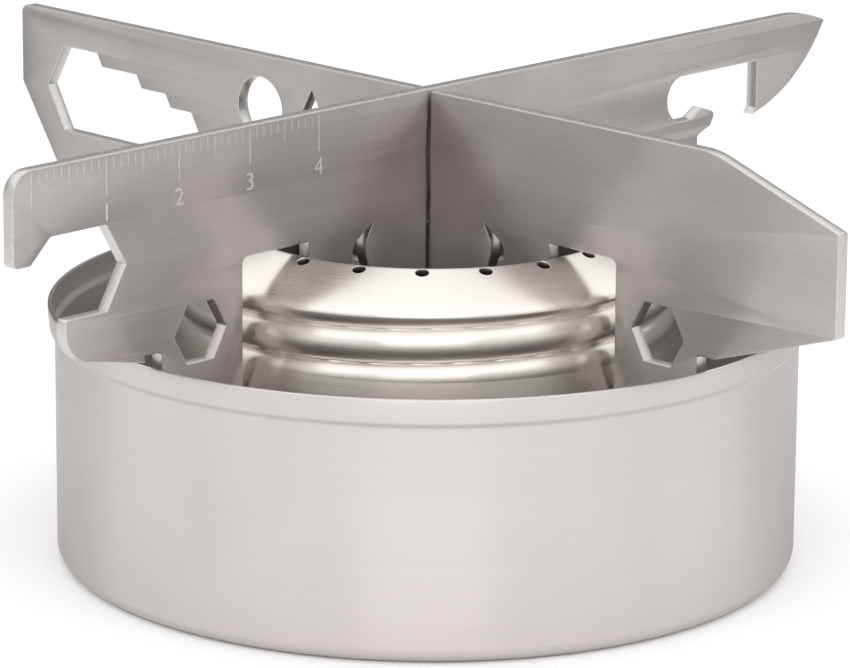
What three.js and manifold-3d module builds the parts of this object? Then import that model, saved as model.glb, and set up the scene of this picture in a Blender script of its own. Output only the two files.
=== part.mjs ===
// Alcohol spirit stove: a shallow steel pan, a double-wall jet burner that stands in it, and a pot
// stand of two flat plates that half-lap into a cross over the burner.
// Millimetres, +Z up. The origin is the centre of the pan's underside. The lower plate lies along X
// and the upper plate along Y.

import * as THREE from 'three';
import { mergeVertices } from 'three/addons/utils/BufferGeometryUtils.js';
import Module from 'manifold-3d';

const wasm = await Module();
wasm.setup();

// Gap left between neighbouring pieces.
const CLEARANCE = 0.3;

// Pan: a drawn cup with a flat base and a slightly wider rim band above a shallow step.
const PAN_HEIGHT = 28.6;
const PAN_RADIUS = 40.7;
const PAN_WALL = 0.4;
const PAN_CORNER = 1.8;
const RIM_RADIUS = 41.45;
const RIM_STEP_Z = 25.3;
const PAN_SEGMENTS = 72;

// Burner: radii are outer radii unless the name says otherwise.
const SHEET = 0.5;
const NECK_RADIUS = 27.4;
const NECK_TOP_Z = 33.3;
const NECK_BOTTOM_Z = 26.4;
const BODY_RADIUS = 28;
const BODY_TOP_Z = 24;
const CREST_Z = 37.05;
const CREST_RADIUS = 20.8;
const SHOULDER_TILT = 20;
const LIP_INNER_RADIUS = 20;
const LIP_BOTTOM_Z = 33;
const SKIRT_BOTTOM_Z = 12;
const BURNER_SEGMENTS = 60;

// The rolled thread round the burner's neck, for its screw cap. Its ends are in turns from the
// direction midway between +X and -Y, where the groove is at GROOVE_Z.
const THREAD_PITCH = 3.75;
const THREAD_DEPTH = 1.4;
const THREAD_FACING = -45;
const THREAD_START = -1.35;
const THREAD_END = 0.35;
const THREAD_FADE = 0.12;
const GROOVE_Z = 32.05;
const NECK_ROWS = 18;

const JET_COUNT = 20;
const JET_DIAMETER = 1.4;
const JET_RING_RADIUS = 21.5;
const JET_TILT = SHOULDER_TILT;
const JET_START_ANGLE = 7;

const CUP_BOTTOM_Z = PAN_WALL + CLEARANCE + 0.05;
const CUP_TOP_Z = 20;
const CUP_CORNER = 2.2;
const CUP_RADIUS = BODY_RADIUS - SHEET - CLEARANCE;

const WELL_RADIUS = 19.2;
const WELL_TOP_Z = 36.5;
const WELL_BOTTOM_Z = CUP_BOTTOM_Z + SHEET + CLEARANCE;
const FEED_COUNT = 6;
const FEED_WIDTH = 3;
const FEED_HEIGHT = 2.4;

const WICK_INNER_RADIUS = WELL_RADIUS + SHEET + CLEARANCE;
const WICK_THICKNESS = 2.6;
const WICK_TOP_Z = 22;

// Stand plates: s runs along a plate from the crossing, z is the height.
const PLATE_THICKNESS = 1.5;
const UPPER_TOP_Z = 52.1;
const LOWER_TOP_Z = 51.85;
const SLOT_HALF_WIDTH = PLATE_THICKNESS / 2 + CLEARANCE;
const UPPER_SLOT_TOP_Z = 37.4;
const LOWER_SLOT_BOTTOM_Z = UPPER_SLOT_TOP_Z - CLEARANCE;
const LEG_OUTER = PAN_RADIUS - PAN_WALL - 0.35;
const LEG_INNER = 28.35;
const LEG_BOTTOM_Z = PAN_WALL + 0.4;
const NOTCH_TOP_Z = 29.95;
const NOTCH_END = 42.2;
const ARCH_TOP_Z = 38.1;
const TONGUE_HALF_WIDTH = 18.8;
const TONGUE_BOTTOM_Z = 22.6;

// Tools cut into the plates.
const HEX_DRIVER_FLATS = 6.35;
const HEX_DRIVER_S = 34.4;
const HEX_DRIVER_Z = 31.15;
const OPENER_FLATS = 9.1;
const OPENER_S = -50;
const OPENER_Z = 40.25;
const WRENCH_BOTTOM_Z = 37.85;
const WRENCH_STEPS = [
  { flats: 10, end: -53.3 },
  { flats: 8.5, end: -46.5 },
  { flats: 7, end: -41.6 },
  { flats: 5.5, end: -37.25 },
];
const ROUND_HOLE = { s: -25.8, z: 45.8, radius: 3.5 };
const TRIANGLE = { s: -17.5, apexZ: 49.05, side: 6 };

const HEX_SLOPE = Math.sqrt(3);
const radians = THREE.MathUtils.degToRad;
const degrees = THREE.MathUtils.radToDeg;

// The most that one side of a rounded plate corner turns.
const ARC_STEP = 18;

const MATERIALS = {
  pan: { color: 0xc8c3c0, roughness: 0.38, metalness: 1 },
  polished: { color: 0xd9d3cc, roughness: 0.12, metalness: 1 },
  cup: { color: 0xcfcac4, roughness: 0.25, metalness: 1 },
  plate: { color: 0xb9b2ab, roughness: 0.42, metalness: 1 },
  wick: { color: 0xe8e2d2, roughness: 0.95, metalness: 0 },
};

function makeMesh(name, geometry, material) {
  const mesh = new THREE.Mesh(geometry, new THREE.MeshStandardMaterial(MATERIALS[material]));
  mesh.name = name;
  return mesh;
}

// Points on an ellipse arc, both ends included. Angles are in degrees.
function arcPoints(centreX, centreY, radiusX, radiusY, startAngle, endAngle, steps) {
  const points = [];
  for (let i = 0; i <= steps; i += 1) {
    const angle = radians(startAngle + ((endAngle - startAngle) * i) / steps);
    points.push(new THREE.Vector2(
      centreX + radiusX * Math.cos(angle),
      centreY + radiusY * Math.sin(angle),
    ));
  }
  return points;
}

// A solid of revolution about Z from a profile of (radius, height) points.
function revolve(profile, segments) {
  const geometry = new THREE.LatheGeometry(profile, segments);
  geometry.rotateX(Math.PI / 2);
  return geometry;
}

function toManifold(geometry) {
  const bare = geometry.clone();
  bare.deleteAttribute('normal');
  bare.deleteAttribute('uv');
  const merged = mergeVertices(bare, 1e-4);
  return new wasm.Manifold(new wasm.Mesh({
    numProp: 3,
    vertProperties: new Float32Array(merged.attributes.position.array),
    triVerts: new Uint32Array(merged.index.array),
  }));
}

function fromManifold(solid) {
  const mesh = solid.getMesh();
  const geometry = new THREE.BufferGeometry();
  geometry.setAttribute('position', new THREE.BufferAttribute(mesh.vertProperties, 3));
  geometry.setIndex(new THREE.BufferAttribute(mesh.triVerts, 1));
  geometry.computeVertexNormals();
  return geometry;
}

function subtractAll(geometry, cutters) {
  let solid = toManifold(geometry);
  for (const cutter of cutters) {
    solid = solid.subtract(toManifold(cutter));
  }
  return fromManifold(solid);
}

// The points of a closed polygon whose corners are [s, z] or [s, z, radius], where the radius rounds
// that corner with an arc.
function roundedPoints(corners) {
  return corners.flatMap(([x, y, radius = 0], index) => {
    const corner = new THREE.Vector2(x, y);
    if (radius === 0) {
      return [corner];
    }
    const before = new THREE.Vector2(...corners.at(index - 1)).sub(corner).normalize();
    const after = new THREE.Vector2(...corners[(index + 1) % corners.length]).sub(corner).normalize();
    const halfAngle = Math.acos(before.dot(after)) / 2;
    const centre = before.clone().add(after).setLength(radius / Math.sin(halfAngle)).add(corner);
    const start = corner.clone().addScaledVector(before, radius / Math.tan(halfAngle)).sub(centre);
    const turn = 180 - degrees(2 * halfAngle);
    const startAngle = degrees(start.angle());
    const endAngle = startAngle + (before.cross(after) > 0 ? -turn : turn);
    return arcPoints(centre.x, centre.y, radius, radius, startAngle, endAngle, Math.ceil(turn / ARC_STEP));
  });
}

function mirrored(corners) {
  return corners.map(([s, ...rest]) => [-s, ...rest]).reverse();
}

// A six-sided hole with two flats level, one above and one below its centre.
function hexagonHole(s, z, flats) {
  const reach = flats / HEX_SLOPE;
  return new THREE.Path(arcPoints(s, z, reach, reach, 0, 300, 5));
}

// One leg and its half of the tongue, from the notch over the pan's rim to the centre line.
function undersideCorners() {
  return [
    [NOTCH_END, NOTCH_TOP_Z],
    [LEG_OUTER, NOTCH_TOP_Z, 0.2],
    [LEG_OUTER, LEG_BOTTOM_Z, PAN_CORNER],
    [LEG_INNER, LEG_BOTTOM_Z, 0.5],
    [LEG_INNER, ARCH_TOP_Z, 0.8],
    [TONGUE_HALF_WIDTH, ARCH_TOP_Z],
    [TONGUE_HALF_WIDTH, TONGUE_BOTTOM_Z, 1.5],
  ];
}

// A small hooked slot in the tongue, open on the side of the crossing. side is 1 or -1.
function clawHole(side) {
  const corners = [
    [12.2, 31],
    [12.2, 36.6, 2],
    [9.2, 38.6],
    [10.6, 35.9, 3],
    [9.4, 33],
    [9.4, 31],
  ];
  return new THREE.Path(roundedPoints(side > 0 ? corners : mirrored(corners)));
}

// A row of open-end spanner steps that share one level floor, each narrower than the last.
function wrenchHole() {
  const first = WRENCH_STEPS[0];
  const last = WRENCH_STEPS.at(-1);
  const leftCorner = first.end - first.flats / HEX_SLOPE;
  const corners = [
    [leftCorner, WRENCH_BOTTOM_Z],
    [leftCorner - first.flats / (2 * HEX_SLOPE), WRENCH_BOTTOM_Z + first.flats / 2],
    [leftCorner, WRENCH_BOTTOM_Z + first.flats],
  ];
  WRENCH_STEPS.forEach(({ flats, end }, index) => {
    const next = WRENCH_STEPS[index + 1];
    corners.push([end, WRENCH_BOTTOM_Z + flats, 0.2]);
    if (next) {
      corners.push([end + (flats - next.flats) / HEX_SLOPE, WRENCH_BOTTOM_Z + next.flats, 0.2]);
    }
  });
  corners.push([last.end + last.flats / (2 * HEX_SLOPE), WRENCH_BOTTOM_Z + last.flats / 2]);
  corners.push([last.end, WRENCH_BOTTOM_Z]);
  return new THREE.Path(roundedPoints(corners));
}

function roundHole() {
  const { s, z, radius } = ROUND_HOLE;
  return new THREE.Path(arcPoints(s, z, radius, radius, 0, 345, 23));
}

function triangleHole() {
  const { s, apexZ, side } = TRIANGLE;
  const baseZ = apexZ - (side * HEX_SLOPE) / 2;
  return new THREE.Path([
    new THREE.Vector2(s, apexZ),
    new THREE.Vector2(s + side / 2, baseZ),
    new THREE.Vector2(s - side / 2, baseZ),
  ]);
}

// Cuts a plate from its outline, standing on edge with s along +X. The corners run clockwise, and
// ExtrudeGeometry turns the holes the right way round only for an anticlockwise shape.
function extrudePlate(corners, holes) {
  const shape = new THREE.Shape(roundedPoints(corners).reverse());
  shape.holes.push(...holes);
  const options = { depth: PLATE_THICKNESS, bevelEnabled: false };
  const geometry = new THREE.ExtrudeGeometry(shape, options);
  geometry.translate(0, 0, -PLATE_THICKNESS / 2);
  geometry.rotateX(Math.PI / 2);
  return geometry;
}

// The lower plate: slot in its top edge, spanner steps at one end and a plain tapered arm at the other.
function lowerPlate() {
  const corners = [
    [-66.5, LOWER_TOP_Z, 1],
    [-SLOT_HALF_WIDTH, LOWER_TOP_Z],
    [-SLOT_HALF_WIDTH, LOWER_SLOT_BOTTOM_Z],
    [SLOT_HALF_WIDTH, LOWER_SLOT_BOTTOM_Z],
    [SLOT_HALF_WIDTH, LOWER_TOP_Z],
    [41.3, LOWER_TOP_Z, 10],
    [58.4, 46.1, 0.4],
    [58.4, 35.2, 0.4],
    ...undersideCorners(),
    ...mirrored(undersideCorners()),
    [-59.3, 31.9, 2],
    [-66.5, 42.65, 0.5],
  ];
  const holes = [
    wrenchHole(),
    roundHole(),
    triangleHole(),
    clawHole(1),
    clawHole(-1),
    hexagonHole(HEX_DRIVER_S, HEX_DRIVER_Z, HEX_DRIVER_FLATS),
  ];
  return extrudePlate(corners, holes);
}

// The far arm of the upper plate: a curved blade, and a hook with a small prong under it.
function bladeAndHookCorners() {
  return [
    [61.5, UPPER_TOP_Z, 15],
    [65.5, 50.75, 0.2],
    [61.2, 43.4, 19.5],
    [52.9, 41.15],
    [53.5, 41.9],
    [53.5, 47.45],
    [38.1, 47.45, 2.59],
    [38.1, 42.25, 2.59],
    [42.3, 42.25, 0.6],
    [44, 43.3, 0.5],
    [46.4, 42.5, 0.6],
    [45.6, 40.95, 0.6],
    [43.4, 40.1, 0.3],
    [43.4, NOTCH_TOP_Z, 0.5],
  ];
}

// The near arm of the upper plate: a six-sided gap open towards its end, between two jaws.
function openerCorners() {
  const reach = OPENER_FLATS / HEX_SLOPE;
  const lowZ = OPENER_Z - OPENER_FLATS / 2;
  const highZ = OPENER_Z + OPENER_FLATS / 2;
  return [
    [-NOTCH_END, NOTCH_TOP_Z - 0.7],
    [-53, 31.5, 3.5],
    [-53, lowZ, 0.5],
    [OPENER_S + reach / 2, lowZ],
    [OPENER_S + reach, OPENER_Z],
    [OPENER_S + reach / 2, highZ],
    [-54.8, highZ, 0.5],
    [-57.5, 42.2, 0.5],
    [-59.8, 42.2, 0.6],
  ];
}

// The upper plate: slot in its underside, so its top edge runs unbroken over the crossing.
function upperPlate() {
  const halfSlot = [
    [SLOT_HALF_WIDTH, TONGUE_BOTTOM_Z],
    [SLOT_HALF_WIDTH, UPPER_SLOT_TOP_Z],
  ];
  const corners = [
    [-59.8, UPPER_TOP_Z, 2.6],
    ...bladeAndHookCorners(),
    ...undersideCorners().slice(1),
    ...halfSlot,
    ...mirrored(halfSlot),
    ...mirrored(undersideCorners()),
    ...openerCorners(),
  ];
  const holes = [
    clawHole(1),
    clawHole(-1),
    hexagonHole(-HEX_DRIVER_S, HEX_DRIVER_Z, HEX_DRIVER_FLATS),
  ];
  const geometry = extrudePlate(corners, holes);
  geometry.rotateZ(Math.PI / 2);
  return geometry;
}

function pan() {
  const innerRadius = PAN_RADIUS - PAN_WALL;
  const innerCorner = PAN_CORNER - PAN_WALL;
  const rimInner = RIM_RADIUS - PAN_WALL;
  const hem = PAN_WALL / 2;
  const profile = [
    new THREE.Vector2(0, 0),
    ...arcPoints(PAN_RADIUS - PAN_CORNER, PAN_CORNER, PAN_CORNER, PAN_CORNER, -90, 0, 4),
    new THREE.Vector2(PAN_RADIUS, RIM_STEP_Z),
    new THREE.Vector2(RIM_RADIUS - 0.15, RIM_STEP_Z + 0.9),
    ...arcPoints(rimInner + hem, PAN_HEIGHT - hem, hem, hem, 0, 180, 4),
    new THREE.Vector2(rimInner - 0.15, RIM_STEP_Z + 0.9 + PAN_WALL),
    new THREE.Vector2(innerRadius, RIM_STEP_Z + PAN_WALL / 2),
    ...arcPoints(PAN_RADIUS - PAN_CORNER, PAN_CORNER, innerCorner, innerCorner, 0, -90, 4),
    new THREE.Vector2(0, PAN_WALL),
  ];
  return revolve(profile, PAN_SEGMENTS);
}

// How far the thread dents the neck inwards at an angle, in radians, and a height. The groove is a
// helix, and the neck bulges in a half ellipse between its turns.
function threadDent(angle, z) {
  const turn = THREE.MathUtils.euclideanModulo(degrees(angle) - THREAD_FACING + 180, 360) / 360 - 0.5;
  const rise = (z - GROOVE_Z) / THREAD_PITCH - turn;
  const groove = Math.round(rise);
  const along = groove + turn;
  const fadeIn = THREE.MathUtils.smoothstep(along, THREAD_START, THREAD_START + THREAD_FADE);
  const fadeOut = THREE.MathUtils.smoothstep(-along, -THREAD_END, THREAD_FADE - THREAD_END);
  const nearness = 1 - 2 * Math.abs(rise - groove);
  return THREAD_DEPTH * (1 - Math.sqrt(1 - nearness * nearness)) * fadeIn * fadeOut;
}

// Rolls the thread into the outer side of a revolved shape, whose profile rows start at firstRow.
function rollThread(geometry, rowCount, firstRow) {
  const { position } = geometry.attributes;
  for (let i = 0; i < position.count; i += 1) {
    const x = position.getX(i);
    const y = position.getY(i);
    const radius = Math.hypot(x, y);
    if (i % rowCount >= firstRow && radius > CREST_RADIUS) {
      const scale = 1 - threadDent(Math.atan2(y, x), position.getZ(i)) / radius;
      position.setXY(i, x * scale, y * scale);
    }
  }
}

function jetCutters() {
  const cutters = [];
  for (let i = 0; i < JET_COUNT; i += 1) {
    const cutter = new THREE.CylinderGeometry(JET_DIAMETER / 2, JET_DIAMETER / 2, 3, 8);
    cutter.rotateX(Math.PI / 2);
    cutter.rotateY(radians(JET_TILT));
    cutter.translate(JET_RING_RADIUS, 0, CREST_Z - 0.4);
    cutter.rotateZ(radians(JET_START_ANGLE + (360 / JET_COUNT) * i));
    cutters.push(cutter);
  }
  return cutters;
}

// The top of the burner: a rounded crest that slopes outwards through the jets, then falls to the neck.
function burnerDomePoints() {
  const slope = radians(SHOULDER_TILT);
  const crestRound = CREST_RADIUS - LIP_INNER_RADIUS;
  const crestCentreZ = CREST_Z - crestRound;
  const slopeStart = new THREE.Vector2(Math.sin(slope), Math.cos(slope))
    .multiplyScalar(crestRound)
    .add(new THREE.Vector2(CREST_RADIUS, crestCentreZ));
  const run = NECK_RADIUS - slopeStart.x;
  const corner = new THREE.Vector2(NECK_RADIUS, slopeStart.y - run * Math.tan(slope));
  const neckTop = new THREE.Vector2(NECK_RADIUS, NECK_TOP_Z);
  const side = new THREE.QuadraticBezierCurve(neckTop, corner, slopeStart);
  const crestSteps = 4;
  return [
    ...side.getPoints(7),
    ...arcPoints(CREST_RADIUS, crestCentreZ, crestRound, crestRound, 90, 180, crestSteps),
  ];
}

// The sheet is formed in one piece: lip, dome, threaded neck, shoulder and skirt.
function burnerTopShell() {
  const wallInside = NECK_RADIUS - THREAD_DEPTH - SHEET;
  const bodyInside = BODY_RADIUS - SHEET;
  const lipInside = LIP_INNER_RADIUS + SHEET;
  const inside = [
    new THREE.Vector2(lipInside, LIP_BOTTOM_Z),
    new THREE.Vector2(lipInside, CREST_Z - 2 * SHEET),
    new THREE.Vector2(CREST_RADIUS, CREST_Z - 1.2 * SHEET),
    new THREE.Vector2(wallInside, NECK_TOP_Z + 1.2),
    new THREE.Vector2(wallInside, NECK_BOTTOM_Z - 0.4),
    new THREE.Vector2(bodyInside, BODY_TOP_Z - 1.5),
    new THREE.Vector2(bodyInside, SKIRT_BOTTOM_Z),
  ];
  const outside = [
    new THREE.Vector2(BODY_RADIUS, SKIRT_BOTTOM_Z),
    new THREE.Vector2(BODY_RADIUS, BODY_TOP_Z),
  ];
  for (let row = 0; row < NECK_ROWS; row += 1) {
    const z = NECK_BOTTOM_Z + ((NECK_TOP_Z - NECK_BOTTOM_Z) * row) / NECK_ROWS;
    outside.push(new THREE.Vector2(NECK_RADIUS, z));
  }
  outside.push(...burnerDomePoints(), new THREE.Vector2(LIP_INNER_RADIUS, LIP_BOTTOM_Z));
  const profile = [...inside, ...outside, inside[0]];
  const geometry = revolve(profile, BURNER_SEGMENTS);
  rollThread(geometry, profile.length, inside.length);
  return subtractAll(geometry, jetCutters());
}

function burnerBaseCup() {
  const innerCorner = CUP_CORNER - SHEET;
  const cornerCentreZ = CUP_BOTTOM_Z + CUP_CORNER;
  const profile = [
    new THREE.Vector2(0, CUP_BOTTOM_Z),
    ...arcPoints(CUP_RADIUS - CUP_CORNER, cornerCentreZ, CUP_CORNER, CUP_CORNER, -90, 0, 4),
    new THREE.Vector2(CUP_RADIUS, CUP_TOP_Z),
    new THREE.Vector2(CUP_RADIUS - SHEET, CUP_TOP_Z),
    ...arcPoints(CUP_RADIUS - CUP_CORNER, cornerCentreZ, innerCorner, innerCorner, 0, -90, 4),
    new THREE.Vector2(0, CUP_BOTTOM_Z + SHEET),
  ];
  return revolve(profile, BURNER_SEGMENTS);
}

// A plain tube between two radii and two heights.
function tube(innerRadius, outerRadius, bottomZ, topZ, segments) {
  const profile = [
    new THREE.Vector2(innerRadius, bottomZ),
    new THREE.Vector2(outerRadius, bottomZ),
    new THREE.Vector2(outerRadius, topZ),
    new THREE.Vector2(innerRadius, topZ),
    new THREE.Vector2(innerRadius, bottomZ),
  ];
  return revolve(profile, segments);
}

// The inner wall stands on the cup's floor, and feed gaps at its foot let fuel reach the wick.
function burnerInnerWall() {
  const wall = tube(WELL_RADIUS, WELL_RADIUS + SHEET, WELL_BOTTOM_Z, WELL_TOP_Z, BURNER_SEGMENTS);
  const cutters = [];
  for (let i = 0; i < FEED_COUNT; i += 1) {
    const cutter = new THREE.BoxGeometry(4, FEED_WIDTH, 2 * FEED_HEIGHT);
    cutter.translate(WELL_RADIUS, 0, WELL_BOTTOM_Z);
    cutter.rotateZ(radians((360 / FEED_COUNT) * i));
    cutters.push(cutter);
  }
  return subtractAll(wall, cutters);
}

function wickBand() {
  const outerRadius = WICK_INNER_RADIUS + WICK_THICKNESS;
  return tube(WICK_INNER_RADIUS, outerRadius, WELL_BOTTOM_Z, WICK_TOP_Z, BURNER_SEGMENTS / 2);
}

const stove = new THREE.Group();
stove.add(
  makeMesh('pan', pan(), 'pan'),
  makeMesh('burner_base_cup', burnerBaseCup(), 'cup'),
  makeMesh('burner_inner_wall', burnerInnerWall(), 'polished'),
  makeMesh('burner_wick_band', wickBand(), 'wick'),
  makeMesh('burner_top_shell', burnerTopShell(), 'polished'),
  makeMesh('stand_lower_plate', lowerPlate(), 'plate'),
  makeMesh('stand_upper_plate', upperPlate(), 'plate'),
);

export default stove;
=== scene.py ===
"""Alcohol spirit stove: the visible pieces, materials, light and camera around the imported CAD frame.

Lengths of the stove are in millimetres, and MM turns them into metres. The camera, the lights and the
floor are in metres.
The lower plate of the stand lies along X and the upper plate along Y, as in the CAD part.
"""

import math

import bmesh
import bpy
from mathutils import Matrix, Vector
from mathutils.geometry import tessellate_polygon


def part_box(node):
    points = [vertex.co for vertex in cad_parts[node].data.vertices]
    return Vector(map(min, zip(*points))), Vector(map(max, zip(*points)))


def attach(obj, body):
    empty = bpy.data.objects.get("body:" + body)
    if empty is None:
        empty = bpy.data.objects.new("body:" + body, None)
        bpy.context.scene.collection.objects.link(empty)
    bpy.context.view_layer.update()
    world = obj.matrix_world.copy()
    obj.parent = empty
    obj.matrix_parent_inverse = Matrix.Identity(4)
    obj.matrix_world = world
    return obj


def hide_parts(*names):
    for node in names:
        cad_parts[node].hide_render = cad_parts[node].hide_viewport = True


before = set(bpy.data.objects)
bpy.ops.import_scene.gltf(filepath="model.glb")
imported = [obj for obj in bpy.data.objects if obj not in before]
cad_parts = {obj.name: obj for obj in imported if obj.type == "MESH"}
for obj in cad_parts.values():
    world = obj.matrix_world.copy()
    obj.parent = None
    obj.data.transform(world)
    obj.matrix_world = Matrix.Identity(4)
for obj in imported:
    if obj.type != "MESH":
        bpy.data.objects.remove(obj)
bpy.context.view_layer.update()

MM = 0.001

# Smoothness of the visible pieces.
LATHE_SEGMENTS = 288
ARC_STEP = 5
CORNER_STEP = 9
LIP_STEP = 20
CREST_STEP = 6
FELT_STEP = 30
SHARP_ANGLE = math.radians(32)
MITRE_LIMIT = 0.3

# Pan.
PAN_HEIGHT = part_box("pan")[1].z / MM
RIM_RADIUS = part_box("pan")[1].x / MM
PAN_RADIUS = RIM_RADIUS - 0.75
PAN_WALL = 0.4
PAN_CORNER = 1.8
RIM_STEP_Z = 25.3
STEP_OUT = 0.6
STEP_RISE = 0.98
STEP_ROWS = 6
OUTER_STEP_DROP = 0.1
INNER_STEP_LIFT = 0.2
# An extra ring this far below the rim's top keeps the hem's shading off the wall.
HEM_RING_DROP = 0.7
# How far outside a wall's inner radius the middle of a face can be and still count as its inside.
FACE_MARGIN = 0.1

# Burner.
SHEET = 0.5
NECK_RADIUS = 27.4
NECK_TOP_Z = 33.3
NECK_BOTTOM_Z = 26.4
BODY_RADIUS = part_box("burner_top_shell")[1].x / MM
BODY_TOP_Z = 24
CREST_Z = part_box("burner_top_shell")[1].z / MM
CREST_RADIUS = 20.8
SHOULDER_TILT = math.radians(20)
LIP_INNER_RADIUS = 20
LIP_BOTTOM_Z = 33
DOME_STEPS = 28
SKIRT_BOTTOM_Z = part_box("burner_top_shell")[0].z / MM
# The shell's inside: how far below the crest it lies at the lip and under the crest, and how far past
# the neck's ends and below the body's top its wall turns.
INSIDE_LIP_DROP = 2 * SHEET
INSIDE_CREST_DROP = 1.2 * SHEET
INSIDE_ABOVE_NECK = 1.2
INSIDE_BELOW_NECK = 0.4
INSIDE_BODY_DROP = 1.5
INWARD_FACING = -0.2
JET_COUNT = 20
JET_RADIUS = 0.7
JET_RING_RADIUS = 21.5
JET_START_ANGLE = 7
JET_SIDES = 28
JET_CENTRE_DROP = 0.4
# The jets' countersunk drill, from inside the shell outwards: distance along it, and radius.
JET_DRILL = [(-1.6, JET_RADIUS), (0.1, JET_RADIUS), (0.5, JET_RADIUS * 1.35), (2, JET_RADIUS * 1.35)]

# Rolled thread round the burner's neck. Its ends are in turns from the direction between +X and -Y,
# where the groove is at GROOVE_Z.
THREAD_PITCH = 3.75
THREAD_DEPTH = 1.4
THREAD_FACING = -45
THREAD_START = -1.35
THREAD_END = 0.35
THREAD_FADE = 0.12
GROOVE_Z = 32.05
GROOVE_ROUNDING = 0.03
NECK_ROW_HEIGHT = 0.1

# Burner's inner pieces.
CUP_BOTTOM_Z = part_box("burner_base_cup")[0].z / MM
CUP_TOP_Z = 20
CUP_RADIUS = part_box("burner_base_cup")[1].x / MM
CUP_CORNER = 2.2
WELL_RADIUS = 19.2
WELL_BOTTOM_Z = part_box("burner_inner_wall")[0].z / MM
WELL_TOP_Z = 36.5
FEED_COUNT = 6
FEED_SIZE = (4, 3, 4.8)
WICK_INNER_RADIUS = 20
WICK_EDGE = 0.5
WICK_BOX = [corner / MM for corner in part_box("burner_wick_band")]

# Steel: a quarter turn lays the anisotropic blur across the lines of the brushing.
ANISOTROPY_TURN = 0.25

# Stand plates: s runs along a plate from the crossing.
PLATE_THICKNESS = 1.5
PLATE_BEVEL = 0.12
BEVEL_MIDDLE = 0.3 * PLATE_BEVEL
UPPER_TOP_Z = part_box("stand_upper_plate")[1].z / MM
LOWER_TOP_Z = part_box("stand_lower_plate")[1].z / MM
SLOT_HALF_WIDTH = 1.05
UPPER_SLOT_TOP_Z = 37.4
LOWER_SLOT_BOTTOM_Z = 37.1
LEG_OUTER = 39.95
LEG_INNER = 28.35
LEG_BOTTOM_Z = 0.8
NOTCH_TOP_Z = 29.95
NOTCH_END = 42.2
ARCH_TOP_Z = 38.1
TONGUE_HALF_WIDTH = 18.8
TONGUE_BOTTOM_Z = 22.6
HEX_SLOPE = math.sqrt(3)
HEX_DRIVER = {"s": 34.4, "z": 31.15, "flats": 6.35}
OPENER = {"s": -50, "z": 40.25, "flats": 9.1}
WRENCH_BOTTOM_Z = 37.85
WRENCH_STEPS = [(10, -53.3), (8.5, -46.5), (7, -41.6), (5.5, -37.25)]
ROUND_HOLE = {"s": -25.8, "z": 45.8, "radius": 3.5}
TRIANGLE = {"s": -17.5, "apex_z": 49.05, "side": 6}

# Engraved rule on the upper plate's near arm.
RULE_ZERO_S = -57.3
RULE_LENGTH = 40
RULE_DROP = 0.35
# How many millimetres apart the lines are, with their length and width. The first that fits a line holds.
RULE_LINES = [(10, 3.9, 0.14), (5, 2.1, 0.11), (1, 1.2, 0.11)]
MARK_PROUD = 0.012
MARK_DEPTH = 0.08
DIGIT_SIZE = 2.7
DIGIT_DROP = 6.9

# Camera.
CAMERA_DISTANCE = 0.52
CAMERA_AZIMUTH = math.radians(44.5)
CAMERA_ELEVATION = math.radians(14.961)
CAMERA_ROLL = math.radians(0.451)
CAMERA_LENS = 200.87
SENSOR_WIDTH = 36
NEAR_CLIP = 0.01
CAMERA_TARGET = Vector((-0.054, -0.263, 24.44)) * MM
ORBIT_CENTRE = Vector((0, 0, 25)) * MM

# The light tent: the radiance of each wall by its turn from the camera in degrees, and the ceiling's.
WALL_LIGHTS = {0: 1.6, 45: 0.95, 90: 0.92, 135: 0.2, 180: 0.2, 225: 0.2, 270: 0.8, 315: 0.95}
WALL_ELEVATION = math.radians(17)
WALL_DISTANCE = 1.3
WALL_SIZE = (1.0, 0.94)
CEILING_LIGHT = 1.3
CEILING_ELEVATION = math.radians(89)
CEILING_DISTANCE = 0.9
CEILING_SIZE = (2.6, 2.6)
WORLD_COLOUR = (1, 0.985, 0.975)
WORLD_STRENGTH = 0.05

# The floor is white in an ellipse that points away from the camera, and painted shade makes it pale grey
# beyond it.
FLOOR_HALF_SIDE = 3
FLOOR_HALF_WIDTH = 0.26
FLOOR_HALF_LENGTH = 0.9
FLOOR_WHITE = (0.97, 0.97, 0.97)
FLOOR_SHADE_GREY = (0.58, 0.58, 0.58)
# Where the fade to the painted shade's grey starts and ends, as multiples of the ellipse's half sizes.
FLOOR_SHADE_FADE = (0.5, 1.5)


# ---------------------------------------------------------------- outlines

def arc(centre_x, centre_y, radius_x, radius_y, start, end, step=ARC_STEP):
    """Points on an ellipse arc, both ends included. Angles are in degrees."""
    steps = max(2, math.ceil(abs(end - start) / step))
    angles = [math.radians(start + (end - start) * i / steps) for i in range(steps + 1)]
    return [(centre_x + radius_x * math.cos(a), centre_y + radius_y * math.sin(a)) for a in angles]


def rounded(corners):
    """The points of a closed outline whose corners are (s, z) or (s, z, radius)."""
    points = []
    for index, (x, y, *radius) in enumerate(corners):
        corner = Vector((x, y))
        if not radius:
            points.append((x, y))
            continue
        before = (Vector(corners[index - 1][:2]) - corner).normalized()
        after = (Vector(corners[(index + 1) % len(corners)][:2]) - corner).normalized()
        half_angle = before.angle(after) / 2
        centre = corner + (before + after).normalized() * radius[0] / math.sin(half_angle)
        start = corner + before * radius[0] / math.tan(half_angle) - centre
        turn = 180 - math.degrees(2 * half_angle)
        if before.x * after.y - before.y * after.x > 0:
            turn = -turn
        start_angle = math.degrees(math.atan2(start.y, start.x))
        points += arc(centre.x, centre.y, radius[0], radius[0], start_angle, start_angle + turn)
    return points


def mirrored(corners):
    return [(-s, *rest) for s, *rest in reversed(corners)]


def hexagon_hole(s, z, flats):
    reach = flats / HEX_SLOPE
    return arc(s, z, reach, reach, 0, 300, 60)


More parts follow.
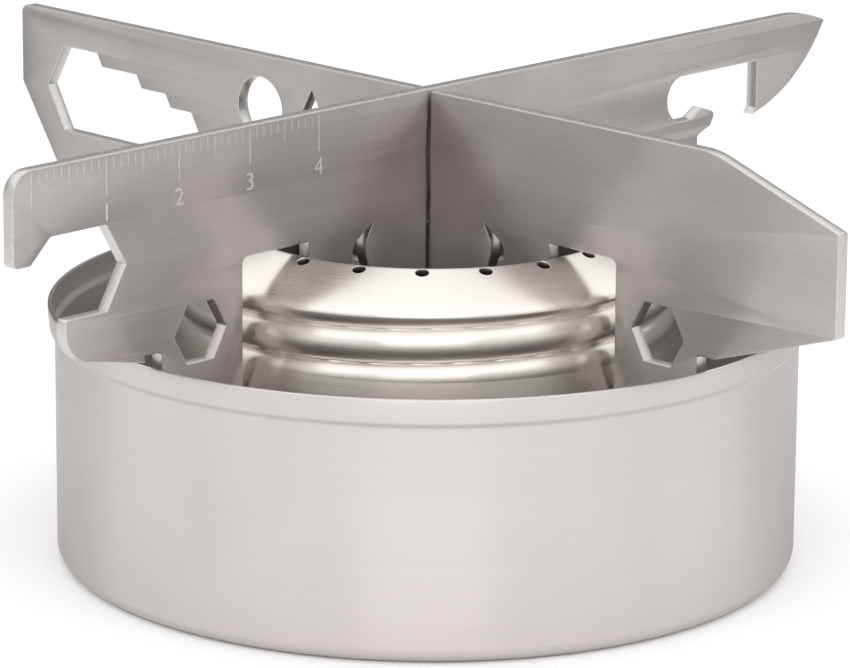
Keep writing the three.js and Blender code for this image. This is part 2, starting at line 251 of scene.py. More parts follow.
def claw_hole(side):
    corners = [(12.2, 31), (12.2, 36.6, 2), (9.2, 38.6), (10.6, 35.9, 3), (9.4, 33), (9.4, 31)]
    return rounded(corners if side > 0 else mirrored(corners))


def wrench_hole():
    """A row of open-end spanner steps on one level floor."""
    flats, end = WRENCH_STEPS[0]
    left = end - flats / HEX_SLOPE
    corners = [
        (left, WRENCH_BOTTOM_Z),
        (left - flats / (2 * HEX_SLOPE), WRENCH_BOTTOM_Z + flats / 2),
        (left, WRENCH_BOTTOM_Z + flats),
    ]
    for index, (flats, end) in enumerate(WRENCH_STEPS):
        corners.append((end, WRENCH_BOTTOM_Z + flats, 0.2))
        if index + 1 < len(WRENCH_STEPS):
            next_flats = WRENCH_STEPS[index + 1][0]
            drop = flats - next_flats
            corners.append((end + drop / HEX_SLOPE, WRENCH_BOTTOM_Z + next_flats, 0.2))
    corners.append((end + flats / (2 * HEX_SLOPE), WRENCH_BOTTOM_Z + flats / 2))
    corners.append((end, WRENCH_BOTTOM_Z))
    return rounded(corners)


def triangle_hole():
    s, apex_z, side = TRIANGLE["s"], TRIANGLE["apex_z"], TRIANGLE["side"]
    base_z = apex_z - side * HEX_SLOPE / 2
    return [(s, apex_z), (s + side / 2, base_z), (s - side / 2, base_z)]


def underside():
    """One leg and its half of the tongue, from the notch over the pan's rim to the centre."""
    return [
        (NOTCH_END, NOTCH_TOP_Z),
        (LEG_OUTER, NOTCH_TOP_Z, 0.2),
        (LEG_OUTER, LEG_BOTTOM_Z, PAN_CORNER),
        (LEG_INNER, LEG_BOTTOM_Z, 0.5),
        (LEG_INNER, ARCH_TOP_Z, 0.8),
        (TONGUE_HALF_WIDTH, ARCH_TOP_Z),
        (TONGUE_HALF_WIDTH, TONGUE_BOTTOM_Z, 1.5),
    ]


def lower_plate_outline():
    return rounded([
        (-66.5, LOWER_TOP_Z, 1),
        (-SLOT_HALF_WIDTH, LOWER_TOP_Z),
        (-SLOT_HALF_WIDTH, LOWER_SLOT_BOTTOM_Z),
        (SLOT_HALF_WIDTH, LOWER_SLOT_BOTTOM_Z),
        (SLOT_HALF_WIDTH, LOWER_TOP_Z),
        (41.3, LOWER_TOP_Z, 10),
        (58.4, 46.1, 0.4),
        (58.4, 35.2, 0.4),
        *underside(),
        *mirrored(underside()),
        (-59.3, 31.9, 2),
        (-66.5, 42.65, 0.5),
    ])


def lower_plate_holes():
    hole = ROUND_HOLE
    return [
        wrench_hole(),
        arc(hole["s"], hole["z"], hole["radius"], hole["radius"], 0, 360 - ARC_STEP),
        triangle_hole(),
        claw_hole(1),
        claw_hole(-1),
        hexagon_hole(HEX_DRIVER["s"], HEX_DRIVER["z"], HEX_DRIVER["flats"]),
    ]


def upper_plate_outline():
    half_slot = [(SLOT_HALF_WIDTH, TONGUE_BOTTOM_Z), (SLOT_HALF_WIDTH, UPPER_SLOT_TOP_Z)]
    reach = OPENER["flats"] / HEX_SLOPE
    low_z = OPENER["z"] - OPENER["flats"] / 2
    high_z = OPENER["z"] + OPENER["flats"] / 2
    return rounded([
        (-59.8, UPPER_TOP_Z, 2.6),
        (61.5, UPPER_TOP_Z, 15),
        (65.5, 50.75, 0.2),
        (61.2, 43.4, 19.5),
        (52.9, 41.15),
        (53.5, 41.9),
        (53.5, 47.45),
        (38.1, 47.45, 2.59),
        (38.1, 42.25, 2.59),
        (42.3, 42.25, 0.6),
        (44, 43.3, 0.5),
        (46.4, 42.5, 0.6),
        (45.6, 40.95, 0.6),
        (43.4, 40.1, 0.3),
        (43.4, NOTCH_TOP_Z, 0.5),
        *underside()[1:],
        *half_slot,
        *mirrored(half_slot),
        *mirrored(underside()),
        (-NOTCH_END, NOTCH_TOP_Z - 0.7),
        (-53, 31.5, 3.5),
        (-53, low_z, 0.5),
        (OPENER["s"] + reach / 2, low_z),
        (OPENER["s"] + reach, OPENER["z"]),
        (OPENER["s"] + reach / 2, high_z),
        (-54.8, high_z, 0.5),
        (-57.5, 42.2, 0.5),
        (-59.8, 42.2, 0.6),
    ])


def upper_plate_holes():
    return [
        claw_hole(1),
        claw_hole(-1),
        hexagon_hole(-HEX_DRIVER["s"], HEX_DRIVER["z"], HEX_DRIVER["flats"]),
    ]


# ---------------------------------------------------------------- mesh building

def new_piece(name, mesh, materials, body, replaced=()):
    """Links a mesh as a smooth-shaded piece that rides on a body."""
    mesh.shade_smooth()
    mesh.set_sharp_from_angle(angle=SHARP_ANGLE)
    piece = bpy.data.objects.new(name, mesh)
    bpy.context.scene.collection.objects.link(piece)
    for material in materials:
        mesh.materials.append(material)
    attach(piece, body)
    if replaced:
        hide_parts(*replaced)
    return piece


def mesh_from(bm, name):
    bmesh.ops.recalc_face_normals(bm, faces=bm.faces)
    mesh = bpy.data.meshes.new(name)
    bm.to_mesh(mesh)
    bm.free()
    return mesh


def lathe(name, profile, segments=LATHE_SEGMENTS, dent=lambda angle, z: 0, dented=()):
    """A solid of revolution about Z. The profile starts and ends on the axis, or closes on itself.
    The profile points at the dented indices are pushed in by dent(angle, z)."""
    bm = bmesh.new()
    turns = [2 * math.pi * i / segments for i in range(segments)]
    rings = []
    for index, (radius, z) in enumerate(profile):
        if radius < 1e-6:
            rings.append([bm.verts.new((0, 0, z * MM))] * segments)
            continue
        radii = [radius - dent(t, z) if index in dented else radius for t in turns]
        rings.append([
            bm.verts.new(Vector((r * math.cos(t), r * math.sin(t), z)) * MM) for r, t in zip(radii, turns)
        ])
    pairs = list(zip(rings, rings[1:]))
    if profile[0][0] > 1e-6:
        pairs.append((rings[-1], rings[0]))
    for low, high in pairs:
        for i in range(segments):
            j = (i + 1) % segments
            bm.faces.new(dict.fromkeys((low[i], low[j], high[j], high[i])))
    return mesh_from(bm, name)


def offset_outline(points, distance):
    """The outline moved sideways, to the left of its direction of travel, by distance."""
    moved = []
    for index, point in enumerate(points):
        here = Vector(point)
        before = (here - Vector(points[index - 1])).normalized()
        after = (Vector(points[(index + 1) % len(points)]) - here).normalized()
        normals = [Vector((-d.y, d.x)) for d in (before, after)]
        mitre = (normals[0] + normals[1]).normalized()
        moved.append(here + mitre * distance / max(MITRE_LIMIT, mitre.dot(normals[0])))
    return moved


def signed_area(points):
    shifted = points[1:] + points[:1]
    return sum(a[0] * b[1] - b[0] * a[1] for a, b in zip(points, shifted)) / 2


def plate(name, outline, holes, along):
    """A flat plate with bevelled edges from its outline and holes, standing along the axis "X" or "Y".
    Material 0 is for the faces and material 1 for the cut edges and bevels."""
    loops = [outline if signed_area(outline) > 0 else outline[::-1]]
    loops += [hole if signed_area(hole) < 0 else hole[::-1] for hole in holes]
    bm = bmesh.new()
    uv = bm.loops.layers.uv.new("along")
    half = PLATE_THICKNESS / 2
    layers = [(PLATE_BEVEL, -half), (BEVEL_MIDDLE, -half + BEVEL_MIDDLE), (0, -half + PLATE_BEVEL)]
    layers += [(inset, -depth) for inset, depth in reversed(layers)]

    def place(point, depth):
        s, z = point[0] * MM, point[1] * MM
        return (s, depth * MM, z) if along == "X" else (-depth * MM, s, z)

    rings = []
    for inset, depth in layers:
        rings.append([
            [bm.verts.new(place(p, depth)) for p in offset_outline(loop, inset)] for loop in loops
        ])
    for low, high in zip(rings, rings[1:]):
        for low_loop, high_loop in zip(low, high):
            for i in range(len(low_loop)):
                j = (i + 1) % len(low_loop)
                bm.faces.new((low_loop[i], low_loop[j], high_loop[j], high_loop[i])).material_index = 1
    flat = [[Vector((*p, 0)) for p in offset_outline(loop, PLATE_BEVEL)] for loop in loops]
    triangles = tessellate_polygon(flat)
    for ring in (rings[0], rings[-1]):
        vertices = [v for loop in ring for v in loop]
        for triangle in triangles:
            bm.faces.new([vertices[i] for i in triangle])
    for face in bm.faces:
        for corner in face.loops:
            s = corner.vert.co.x if along == "X" else corner.vert.co.y
            corner[uv].uv = (s / MM, corner.vert.co.z / MM)
    return mesh_from(bm, name)


def evaluated_mesh(piece):
    return bpy.data.meshes.new_from_object(piece.evaluated_get(bpy.context.evaluated_depsgraph_get()))


def cut(mesh, cutter_mesh):
    """The first mesh with the second taken out of it."""
    collection = bpy.context.scene.collection
    solid = bpy.data.objects.new("solid", mesh)
    cutter = bpy.data.objects.new("cutter", cutter_mesh)
    collection.objects.link(solid)
    collection.objects.link(cutter)
    modifier = solid.modifiers.new("cut", "BOOLEAN")
    modifier.object = cutter
    modifier.operation = "DIFFERENCE"
    modifier.solver = "EXACT"
    result = evaluated_mesh(solid)
    result.name = mesh.name + "_cut"
    bpy.data.objects.remove(solid)
    bpy.data.objects.remove(cutter)
    return result


# ---------------------------------------------------------------- materials

def colour_value(rgb):
    return (*rgb, 1)


class Shader:
    """A small helper that adds nodes to one material and links them."""

    def __init__(self, name):
        self.material = bpy.data.materials.new(name)
        self.material.use_nodes = True
        self.tree = self.material.node_tree
        self.surface = self.tree.nodes["Principled BSDF"]
        self.position = self.add("ShaderNodeTexCoord").outputs["Object"]

    def add(self, kind, inputs=None, **properties):
        node = self.tree.nodes.new(kind)
        for key, value in properties.items():
            setattr(node, key, value)
        for key, value in (inputs or {}).items():
            self.put(value, node.inputs[key])
        return node

    def put(self, value, socket):
        if isinstance(value, bpy.types.NodeSocket):
            self.tree.links.new(value, socket)
        else:
            socket.default_value = value

    def math(self, operation, *values):
        node = self.add("ShaderNodeMath", operation=operation)
        for value, socket in zip(values, node.inputs):
            self.put(value, socket)
        return node.outputs[0]

    def noise(self, scale, detail=2.0, roughness=0.5, offset=(0, 0, 0)):
        """Noise with a different scale, in cells per millimetre, along each axis."""
        stretch = tuple(value / MM for value in scale)
        mapping = self.add(
            "ShaderNodeMapping",
            {"Vector": self.position, "Scale": stretch, "Location": offset},
        )
        inputs = {"Vector": mapping.outputs[0], "Scale": 1, "Detail": detail, "Roughness": roughness}
        return self.add("ShaderNodeTexNoise", inputs).outputs["Fac"]

    def remap(self, value, low, high, to_low, to_high):
        inputs = {"Value": value, "From Min": low, "From Max": high, "To Min": to_low, "To Max": to_high}
        return self.add("ShaderNodeMapRange", inputs).outputs["Result"]

    def blend(self, factor, first, second):
        node = self.add("ShaderNodeMix", data_type="RGBA")
        self.put(factor, node.inputs[0])
        self.put(first, node.inputs[6])
        self.put(second, node.inputs[7])
        return node.outputs[2]

    def bump(self, height, strength, distance_mm, normal=None):
        inputs = {"Height": height, "Strength": strength, "Distance": distance_mm * MM}
        if normal is not None:
            inputs["Normal"] = normal
        return self.add("ShaderNodeBump", inputs).outputs["Normal"]

    def finish(self, colour, roughness, normal=None, metallic=1.0):
        self.put(metallic, self.surface.inputs["Metallic"])
        self.put(colour, self.surface.inputs["Base Color"])
        self.put(roughness, self.surface.inputs["Roughness"])
        if normal is not None:
            self.put(normal, self.surface.inputs["Normal"])
        return self.material


def spun_steel(name, colour, roughness, line_strength, anisotropy, edge_tint=1):
    """Steel turned or drawn about Z, with fine lines round it and faint smudges. An edge_tint below 1
    makes it darker where it is seen at a grazing angle."""
    shader = Shader(name)
    fine = shader.noise((0.05, 0.05, 9), detail=3, roughness=0.6)
    coarse = shader.noise((0.02, 0.02, 1.1), detail=2, offset=(7, 3, 1))
    smudge = shader.noise((0.06, 0.06, 0.05), detail=3, roughness=0.55, offset=(2, 9, 4))
    lines = shader.math("ADD", shader.math("MULTIPLY", fine, 0.6), shader.math("MULTIPLY", coarse, 0.4))
    darker = tuple(value * 0.95 for value in colour)
    tint = shader.blend(shader.remap(lines, 0.35, 0.65, 0, 1), colour_value(darker), colour_value(colour))
    streaks = shader.remap(lines, 0.3, 0.7, -0.04, 0.04)
    patches = shader.remap(smudge, 0.35, 0.65, -0.03, 0.03)
    rough = shader.math("ADD", shader.math("ADD", streaks, patches), roughness)
    normal = shader.bump(lines, line_strength, 0.02)
    shader.surface.inputs["Anisotropic"].default_value = anisotropy
    shader.surface.inputs["Anisotropic Rotation"].default_value = ANISOTROPY_TURN
    tangent = shader.add("ShaderNodeTangent", direction_type="RADIAL", axis="Z")
    shader.put(tangent.outputs[0], shader.surface.inputs["Tangent"])
    shader.surface.inputs["Specular Tint"].default_value = colour_value((edge_tint, edge_tint, edge_tint))
    return shader.finish(tint, rough, normal)


def plate_steel(name, colour, roughness, along):
    """Flat sheet steel with a fine grain along the plate, a few longer scratches and faint stains."""
    shader = Shader(name)
    stretched = (0.05, 0.5, 8) if along == "X" else (0.5, 0.05, 8)
    scratch_scale = (0.03, 0.5, 2.2) if along == "X" else (0.5, 0.03, 2.2)
    grain = shader.noise(stretched, detail=4, roughness=0.65)
    scratches = shader.noise(scratch_scale, detail=2, offset=(3, 1, 8))
    stains = shader.noise((0.07, 0.07, 0.09), detail=3, roughness=0.6, offset=(5, 2, 6))
    darker = tuple(value * 0.86 for value in colour)
    tint = shader.blend(shader.remap(grain, 0.3, 0.7, 0, 1), colour_value(darker), colour_value(colour))
    streaks = shader.remap(grain, 0.3, 0.7, -0.05, 0.05)
    patches = shader.remap(stains, 0.35, 0.65, -0.04, 0.04)
    rough = shader.math("ADD", shader.math("ADD", streaks, patches), roughness)
    scratch_height = shader.math("MULTIPLY", scratches, 0.5)
    height = shader.math("ADD", shader.math("MULTIPLY", grain, 0.5), scratch_height)
    normal = shader.bump(height, 0.12, 0.02)
    shader.surface.inputs["Anisotropic"].default_value = 1
    shader.surface.inputs["Anisotropic Rotation"].default_value = ANISOTROPY_TURN
    tangent = shader.add("ShaderNodeTangent", direction_type="UV_MAP", uv_map="along")
    shader.put(tangent.outputs[0], shader.surface.inputs["Tangent"])
    return shader.finish(tint, rough, normal)


def cut_edge_steel(name, colour):
    """The sheared edge of the sheet: brighter, with fine marks across its thickness."""
    shader = Shader(name)
    marks = shader.noise((3, 3, 3), detail=3, roughness=0.7)
    darker = tuple(value * 0.8 for value in colour)
    tint = shader.blend(shader.remap(marks, 0.3, 0.7, 0, 1), colour_value(darker), colour_value(colour))
    rough = shader.remap(marks, 0.3, 0.7, 0.3, 0.45)
    normal = shader.bump(marks, 0.25, 0.03)
    return shader.finish(tint, rough, normal)


def etched_steel(name, colour):
    """The frosted surface of laser marks."""
    shader = Shader(name)
    grit = shader.noise((14, 14, 14), detail=2)
    darker = tuple(value * 0.85 for value in colour)
    tint = shader.blend(shader.remap(grit, 0.35, 0.65, 0, 1), colour_value(darker), colour_value(colour))
    return shader.finish(tint, shader.remap(grit, 0.3, 0.7, 0.5, 0.7), metallic=0.6)


def wick_felt(name):
    """Off-white mineral fibre felt, sooty towards its top."""
    shader = Shader(name)
    fibres = shader.noise((2.5, 2.5, 6), detail=5, roughness=0.75)
    height = shader.add("ShaderNodeSeparateXYZ", {"Vector": shader.position}).outputs["Z"]
    soot = shader.remap(height, 0.012, 0.024, 0, 0.6)
    clean = shader.blend(fibres, colour_value((0.66, 0.62, 0.52)), colour_value((0.86, 0.83, 0.75)))
    tint = shader.blend(soot, clean, colour_value((0.30, 0.27, 0.22)))
    normal = shader.bump(fibres, 0.8, 0.25)
    shader.surface.inputs["Sheen Weight"].default_value = 0.3
    return shader.finish(tint, 0.95, normal, metallic=0.0)


# ---------------------------------------------------------------- pieces

def smooth_step(value, low, high):
    t = min(1, max(0, (value - low) / (high - low)))
    return t * t * (3 - 2 * t)


def mark_inside(mesh, is_inside):
    """Gives material 1 to the faces that is_inside(radius, z, outward) picks. Outward is the part of
    the face's normal that points away from the Z axis."""
    for face in mesh.polygons:
        centre = face.center / MM
        radius = centre.xy.length
        outward = face.normal.xy.dot(centre.xy) / max(radius, 1e-6)
        if is_inside(radius, centre.z, outward):
            face.material_index = 1


def make_pan(outside, inside):
    inner_radius = PAN_RADIUS - PAN_WALL
    inner_corner = PAN_CORNER - PAN_WALL
    rim_inner = RIM_RADIUS - PAN_WALL
    hem = PAN_WALL / 2
    step = [
        (STEP_OUT * smooth_step(row, 0, STEP_ROWS), STEP_RISE * row / STEP_ROWS)
        for row in range(STEP_ROWS + 1)
    ]
    outer_step = [(PAN_RADIUS + out, RIM_STEP_Z - OUTER_STEP_DROP + up) for out, up in step]
    inner_step = [(inner_radius + out, RIM_STEP_Z + INNER_STEP_LIFT + up) for out, up in step]
    profile = [
        (0, 0),
        *arc(PAN_RADIUS - PAN_CORNER, PAN_CORNER, PAN_CORNER, PAN_CORNER, -90, 0, CORNER_STEP),
        (PAN_RADIUS, PAN_HEIGHT / 2),
        *outer_step,
        (RIM_RADIUS, PAN_HEIGHT - HEM_RING_DROP),
        *arc(rim_inner + hem, PAN_HEIGHT - hem, hem, hem, 0, 180, LIP_STEP),
        (rim_inner, PAN_HEIGHT - HEM_RING_DROP),
        *reversed(inner_step),
        (inner_radius, PAN_HEIGHT / 2),
        *arc(PAN_RADIUS - PAN_CORNER, PAN_CORNER, inner_corner, inner_corner, 0, -90, CORNER_STEP),
        (0, PAN_WALL),
    ]
    mesh = lathe("pan_shell", profile)
    new_piece("pan_shell", mesh, [outside, inside], "pan", ["pan"])
    mark_inside(mesh, lambda radius, z, outward: (
        radius < inner_radius + FACE_MARGIN and z > PAN_WALL / 2
        or radius < rim_inner + FACE_MARGIN and z > RIM_STEP_Z
    ))


def jet_cutters():
    """One mesh of countersunk drills, one for each jet. Material 1 is for the straight bores, which the
    shell paints dark as shade.
    """
    bm = bmesh.new()
    for jet in range(JET_COUNT):
        turn = math.radians(JET_START_ANGLE + 360 / JET_COUNT * jet)
        place = Matrix.Rotation(turn, 4, "Z")
        place @= Matrix.Translation((JET_RING_RADIUS, 0, CREST_Z - JET_CENTRE_DROP))
        place @= Matrix.Rotation(SHOULDER_TILT, 4, "Y")
        rings = []
        for distance, radius in JET_DRILL:
            angles = [2 * math.pi * k / JET_SIDES for k in range(JET_SIDES)]
            ring = [Vector((radius * math.cos(a), radius * math.sin(a), distance)) for a in angles]
            rings.append([bm.verts.new(place @ point * MM) for point in ring])
        for index, (low, high) in enumerate(zip(rings, rings[1:])):
            for k in range(JET_SIDES):
                face = bm.faces.new((low[k], low[k - 1], high[k - 1], high[k]))
                face.material_index = 1 if index == 0 else 0
        bm.faces.new(rings[0])
        bm.faces.new(rings[-1])
    return mesh_from(bm, "jets")


def thread_dent(angle, z):
    """How far the thread dents the neck inwards. Its groove is a helix with half-ellipse ribs between."""
    turn = (math.degrees(angle) - THREAD_FACING + 180) % 360 / 360 - 0.5
    rise = (z - GROOVE_Z) / THREAD_PITCH - turn
    groove = round(rise)
    along = groove + turn
    fade = smooth_step(along, THREAD_START, THREAD_START + THREAD_FADE)
    fade *= 1 - smooth_step(along, THREAD_END - THREAD_FADE, THREAD_END)
    nearness = 1 - 2 * math.hypot(rise - groove, GROOVE_ROUNDING)
    return THREAD_DEPTH * (1 - math.sqrt(1 - max(0, nearness) ** 2)) * fade


def dome_points():
    """From the neck's top up the side of the dome, over the crest and down to the lip."""
    crest_round = CREST_RADIUS - LIP_INNER_RADIUS
    crest_centre_z = CREST_Z - crest_round
    slope_start = Vector((
        CREST_RADIUS + crest_round * math.sin(SHOULDER_TILT),
        crest_centre_z + crest_round * math.cos(SHOULDER_TILT),
    ))
    run = NECK_RADIUS - slope_start.x
    corner = Vector((NECK_RADIUS, slope_start.y - run * math.tan(SHOULDER_TILT)))
    neck_top = Vector((NECK_RADIUS, NECK_TOP_Z))
    side = []
    for step in range(DOME_STEPS):
        t = step / DOME_STEPS
        point = neck_top * (1 - t) ** 2 + corner * 2 * t * (1 - t) + slope_start * t * t
        side.append((point.x, point.y))
    crest_start = 90 - math.degrees(SHOULDER_TILT)
    crest = arc(CREST_RADIUS, crest_centre_z, crest_round, crest_round, crest_start, 180, CREST_STEP)
    return side + crest


def make_top_shell(material, shade_material):
    """One formed sheet: lip, crest, dome, threaded neck, shoulder and skirt. Its inside is hidden, so
    it is plain and only stays clear of the thread."""
    wall_inside = NECK_RADIUS - THREAD_DEPTH - SHEET
    body_inside = BODY_RADIUS - SHEET
    lip_inside = LIP_INNER_RADIUS + SHEET
    inside = [
        (LIP_INNER_RADIUS, LIP_BOTTOM_Z),
        (lip_inside, LIP_BOTTOM_Z),
        (lip_inside, CREST_Z - INSIDE_LIP_DROP),
        (CREST_RADIUS, CREST_Z - INSIDE_CREST_DROP),
        (wall_inside, NECK_TOP_Z + INSIDE_ABOVE_NECK),
        (wall_inside, NECK_BOTTOM_Z - INSIDE_BELOW_NECK),
        (body_inside, BODY_TOP_Z - INSIDE_BODY_DROP),
        (body_inside, SKIRT_BOTTOM_Z),
    ]
    rows = round((NECK_TOP_Z - NECK_BOTTOM_Z) / NECK_ROW_HEIGHT)
    neck = [(NECK_RADIUS, NECK_BOTTOM_Z + NECK_ROW_HEIGHT * row) for row in range(rows)]
    outside = [(BODY_RADIUS, SKIRT_BOTTOM_Z), (BODY_RADIUS, BODY_TOP_Z), *neck, *dome_points()]
    profile = inside + outside
    mesh = lathe("burner_shell", profile, dent=thread_dent, dented=range(len(inside), len(profile)))
    # The faces turned in towards the axis get the darkened steel: painted shade inside the shell.
    mark_inside(mesh, lambda radius, z, outward: (
        outward < INWARD_FACING and radius > LIP_INNER_RADIUS + SHEET / 2
    ))
    mesh = cut(mesh, jet_cutters())
    materials = [material, shade_material]
    new_piece("burner_shell", mesh, materials, "burner", ["burner_top_shell"])


def make_base_cup(material, shade_material):
    inner_corner = CUP_CORNER - SHEET
    centre_z = CUP_BOTTOM_Z + CUP_CORNER
    lip = SHEET / 2
    profile = [
        (0, CUP_BOTTOM_Z),
        *arc(CUP_RADIUS - CUP_CORNER, centre_z, CUP_CORNER, CUP_CORNER, -90, 0, CORNER_STEP),
        *arc(CUP_RADIUS - lip, CUP_TOP_Z - lip, lip, lip, 0, 180, LIP_STEP),
        *arc(CUP_RADIUS - CUP_CORNER, centre_z, inner_corner, inner_corner, 0, -90, CORNER_STEP),
        (0, CUP_BOTTOM_Z + SHEET),
    ]
    mesh = lathe("burner_cup", profile)
    # The cup's inside gets the darkened steel: painted shade.
    mark_inside(mesh, lambda radius, z, outward: (
        radius < CUP_RADIUS - SHEET / 2 and z > CUP_BOTTOM_Z + SHEET / 2
    ))
    materials = [material, shade_material]
    new_piece("burner_cup", mesh, materials, "burner", ["burner_base_cup"])


def feed_cutters():
    bm = bmesh.new()
    for index in range(FEED_COUNT):
        place = Matrix.Rotation(2 * math.pi * index / FEED_COUNT, 4, "Z")
        place @= Matrix.Translation((WELL_RADIUS * MM, 0, WELL_BOTTOM_Z * MM))
        size = Vector(FEED_SIZE) * MM
        bmesh.ops.create_cube(bm, size=1, matrix=place @ Matrix.Diagonal((*size, 1)))
    return mesh_from(bm, "feeds")


def make_inner_wall(material):
    lip = SHEET / 2
    middle = WELL_RADIUS + lip
    profile = [
        (WELL_RADIUS, WELL_BOTTOM_Z),
        (WELL_RADIUS + SHEET, WELL_BOTTOM_Z),
        *arc(middle, WELL_TOP_Z - lip, lip, lip, 0, 180, LIP_STEP),
    ]
    # The whole well takes the darkened steel it is given, as painted shade.
    mesh = cut(lathe("burner_well", profile), feed_cutters())
    new_piece("burner_well", mesh, [material], "burner", ["burner_inner_wall"])


def make_wick(material):
    """The felt band: a tube with rounded edges."""
    low, high = WICK_BOX
    edge = WICK_EDGE
    inner = WICK_INNER_RADIUS + edge
    outer = high.x - edge
    profile = [
        *arc(inner, low.z + edge, edge, edge, 180, 270, FELT_STEP),
        *arc(outer, low.z + edge, edge, edge, 270, 360, FELT_STEP),
        *arc(outer, high.z - edge, edge, edge, 0, 90, FELT_STEP),
        *arc(inner, high.z - edge, edge, edge, 90, 180, FELT_STEP),
    ]
    mesh = lathe("wick_band", profile, LATHE_SEGMENTS // 2)
    new_piece("wick_band", mesh, [material], "burner", ["burner_wick_band"])


def make_plates(lower_material, upper_material, edge_material):
    lower = plate("lower_plate", lower_plate_outline(), lower_plate_holes(), "X")
    materials = [lower_material, edge_material]
    new_piece("lower_plate_sheet", lower, materials, "lower_plate", ["stand_lower_plate"])
    upper = plate("upper_plate", upper_plate_outline(), upper_plate_holes(), "Y")
    materials = [upper_material, edge_material]
    new_piece("upper_plate_sheet", upper, materials, "upper_plate", ["stand_upper_plate"])


def mark_box(bm, s, top_z, length, width):
    """One engraved line on the upper plate's +X face, hanging down from top_z."""
    face_x = PLATE_THICKNESS / 2
    centre = Vector((face_x + (MARK_PROUD - MARK_DEPTH) / 2, s, top_z - length / 2)) * MM
    size = Vector((MARK_PROUD + MARK_DEPTH, width, length)) * MM
    bmesh.ops.create_cube(bm, size=1, matrix=Matrix.Translation(centre) @ Matrix.Diagonal((*size, 1)))


def make_rule(material):
    """The centimetre rule: a line for each millimetre, longer at 5 and 10, and its numbers."""
    bm = bmesh.new()
    for tick in range(RULE_LENGTH + 1):
        length, width = next(size for step, *size in RULE_LINES if tick % step == 0)
        mark_box(bm, RULE_ZERO_S + tick, UPPER_TOP_Z - RULE_DROP, length, width)
    new_piece("rule_lines", mesh_from(bm, "rule_lines"), [material], "upper_plate")
    for number in range(1, RULE_LENGTH // 10 + 1):
        make_digit(number, RULE_ZERO_S + number * 10, UPPER_TOP_Z - DIGIT_DROP, material)


def make_digit(number, s, base_z, material):
    """One number under its line, as thin solid lettering sunk into the plate's +X face."""
    text = bpy.data.curves.new("digit", "FONT")
    text.body = str(number)
    text.size = DIGIT_SIZE * MM
    text.align_x = "CENTER"
    text.extrude = (MARK_PROUD + MARK_DEPTH) / 2 * MM
    text.resolution_u = 6
    writer = bpy.data.objects.new("digit", text)
    bpy.context.scene.collection.objects.link(writer)
    mesh = evaluated_mesh(writer)
    bpy.data.objects.remove(writer)
    face_x = (PLATE_THICKNESS / 2 + (MARK_PROUD - MARK_DEPTH) / 2) * MM
    mesh.transform(Matrix(((0, 0, 1, face_x), (1, 0, 0, s * MM), (0, 1, 0, base_z * MM), (0, 0, 0, 1))))
    new_piece(f"rule_number_{number}", mesh, [material], "upper_plate")


# ---------------------------------------------------------------- stage

def direction_at(azimuth, elevation):
    """The direction from the stove. Azimuth 0 is along -Y, and 90 degrees is along +X."""
    level = math.cos(elevation)
    return Vector((math.sin(azimuth) * level, -math.cos(azimuth) * level, math.sin(elevation)))


def make_camera():
    place = ORBIT_CENTRE + direction_at(CAMERA_AZIMUTH, CAMERA_ELEVATION) * CAMERA_DISTANCE
    aim = (place - CAMERA_TARGET).normalized()
    turned = aim.to_track_quat("Z", "Y").to_matrix() @ Matrix.Rotation(CAMERA_ROLL, 3, "Z")
    data = bpy.data.cameras.new("camera")
    data.lens = CAMERA_LENS
    data.sensor_width = SENSOR_WIDTH
    data.clip_start = NEAR_CLIP
    camera = bpy.data.objects.new("camera", data)
    camera.matrix_world = Matrix.Translation(place) @ turned.to_4x4()
    bpy.context.scene.collection.objects.link(camera)
    bpy.context.scene.camera = camera


def area_light(name, turn, elevation, distance, size, radiance):
    """A soft rectangular light that faces the stove, turned in degrees from the camera's azimuth."""
    direction = direction_at(CAMERA_AZIMUTH + math.radians(turn), elevation)
    data = bpy.data.lights.new(name, "AREA")
    data.shape = "RECTANGLE"
    data.size, data.size_y = size
    data.energy = radiance * math.pi * data.size * data.size_y
    light = bpy.data.objects.new(name, data)
    turned = direction.to_track_quat("Z", "Y").to_matrix().to_4x4()
    light.matrix_world = Matrix.Translation(direction * distance) @ turned
    bpy.context.scene.collection.objects.link(light)


def floor_paint():
    """Matt white paint with painted shade that turns it pale grey towards the sides of the set."""
    shader = Shader("floor_paint")
    turn = shader.add("ShaderNodeMapping", {"Vector": shader.position}, vector_type="TEXTURE")
    turn.inputs["Rotation"].default_value = (0, 0, CAMERA_AZIMUTH)
    turn.inputs["Scale"].default_value = (FLOOR_HALF_WIDTH, FLOOR_HALF_LENGTH, 1)
    distance = shader.add("ShaderNodeVectorMath", {0: turn.outputs[0]}, operation="LENGTH").outputs["Value"]
    fade = shader.remap(distance, *FLOOR_SHADE_FADE, 0, 1)
    fade.node.interpolation_type = "SMOOTHSTEP"
    # The grey beyond the white ellipse is painted shade.
    colour = shader.blend(fade, colour_value(FLOOR_WHITE), colour_value(FLOOR_SHADE_GREY))
    return shader.finish(colour, 0.9, metallic=0.0)


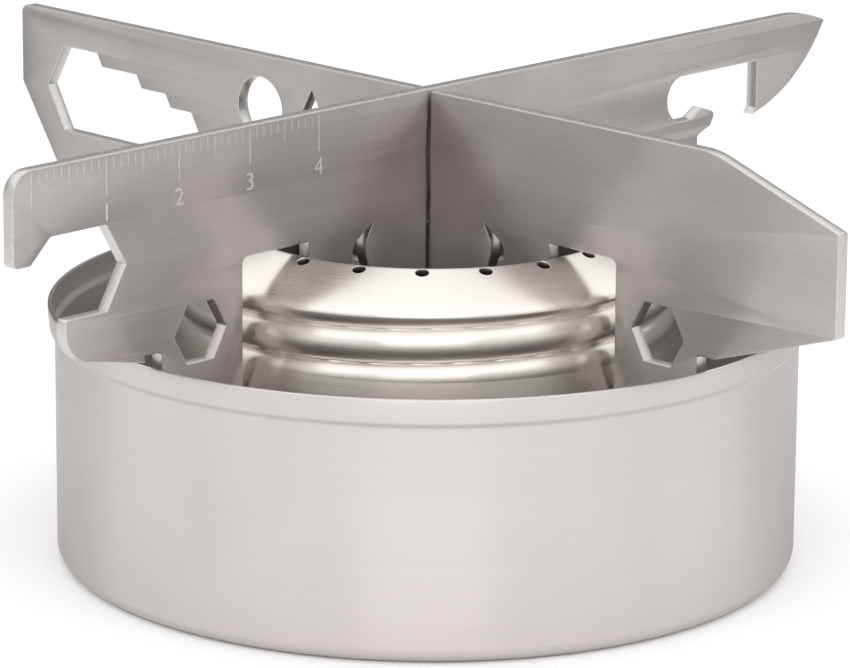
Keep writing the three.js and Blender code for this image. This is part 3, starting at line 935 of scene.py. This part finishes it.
def make_floor():
    half = FLOOR_HALF_SIDE
    mesh = bpy.data.meshes.new("floor")
    corners = [(-half, -half, 0), (half, -half, 0), (half, half, 0), (-half, half, 0)]
    mesh.from_pydata(corners, [], [(0, 1, 2, 3)])
    mesh.materials.append(floor_paint())
    floor = bpy.data.objects.new("floor", mesh)
    bpy.context.scene.collection.objects.link(floor)


def make_lights():
    world = bpy.data.worlds.new("studio")
    world.use_nodes = True
    background = world.node_tree.nodes["Background"]
    background.inputs["Color"].default_value = colour_value(WORLD_COLOUR)
    background.inputs["Strength"].default_value = WORLD_STRENGTH
    bpy.context.scene.world = world
    for turn, radiance in WALL_LIGHTS.items():
        area_light(f"wall_{turn}", turn, WALL_ELEVATION, WALL_DISTANCE, WALL_SIZE, radiance)
    area_light("ceiling", 0, CEILING_ELEVATION, CEILING_DISTANCE, CEILING_SIZE, CEILING_LIGHT)


bpy.context.scene.view_settings.view_transform = "Standard"
make_camera()
make_floor()
make_lights()

satin = spun_steel(
    "satin_steel", (0.64, 0.60, 0.59), roughness=0.36, line_strength=0.02, anisotropy=0.85, edge_tint=0.7
)
pan_inside = spun_steel(
    "pan_inside_steel", (0.62, 0.60, 0.58), roughness=0.5, line_strength=0.05, anisotropy=0.3
)
polished = spun_steel(
    "polished_steel", (0.80, 0.755, 0.715), roughness=0.31, line_strength=0.03, anisotropy=0.75
)
# Steel darkened to a near-black grey as painted shade, for the deep inside of the burner: its well, the
# inward faces of the shell and cup, and the jets' bores.
well_shade_steel = spun_steel("well_painted_shade_steel", (0.28, 0.27, 0.26), roughness=0.4, line_strength=0.06, anisotropy=0.3)
lower_face = plate_steel("lower_plate_steel", (0.71, 0.67, 0.65), roughness=0.54, along="X")
upper_face = plate_steel("upper_plate_steel", (0.70, 0.655, 0.64), roughness=0.54, along="Y")
edge = cut_edge_steel("cut_edge_steel", (0.66, 0.64, 0.62))
etched = etched_steel("etched_steel", (0.66, 0.64, 0.62))

make_pan(satin, pan_inside)
make_top_shell(polished, well_shade_steel)
make_base_cup(polished, well_shade_steel)
make_inner_wall(well_shade_steel)
make_wick(wick_felt("wick_felt"))
make_plates(lower_face, upper_face, edge)
make_rule(etched)
